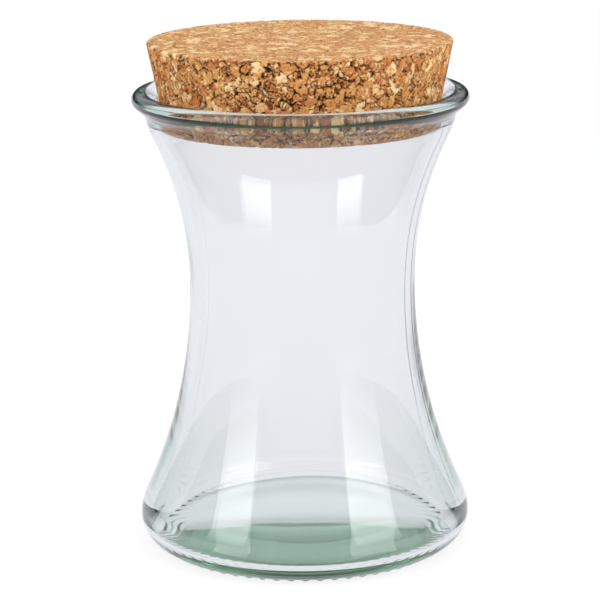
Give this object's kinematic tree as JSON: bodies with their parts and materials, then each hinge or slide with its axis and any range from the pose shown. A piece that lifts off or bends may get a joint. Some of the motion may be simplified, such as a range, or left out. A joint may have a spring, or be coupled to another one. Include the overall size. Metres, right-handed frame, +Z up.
{
  "type": "glass jar with cork lid",
  "caption": "Waisted clear glass storage jar with a rolled mouth bead, a knurled foot ring and a tapered cork lid that lifts out.",
  "frame": {"origin": "centre of the foot ring, on the surface the jar stands on", "axes": "+Z up along the jar's axis, -Y towards the viewer of the picture"},
  "size_m": [0.0882, 0.0882, 0.135],
  "materials": {
    "clear_glass": "clear, polished, faint green in thick places",
    "agglomerated_cork": "matte pressed cork granules"
  },
  "bodies": {
    "jar": {"glass_jar": "clear_glass"},
    "lid": {"cork_lid": "agglomerated_cork"}
  },
  "joints": [
    {"name": "lid_lift", "type": "slide", "parent": "jar", "child": "lid", "axis": [0, 0, 1], "range_m": [0, 0.045]}
  ]
}
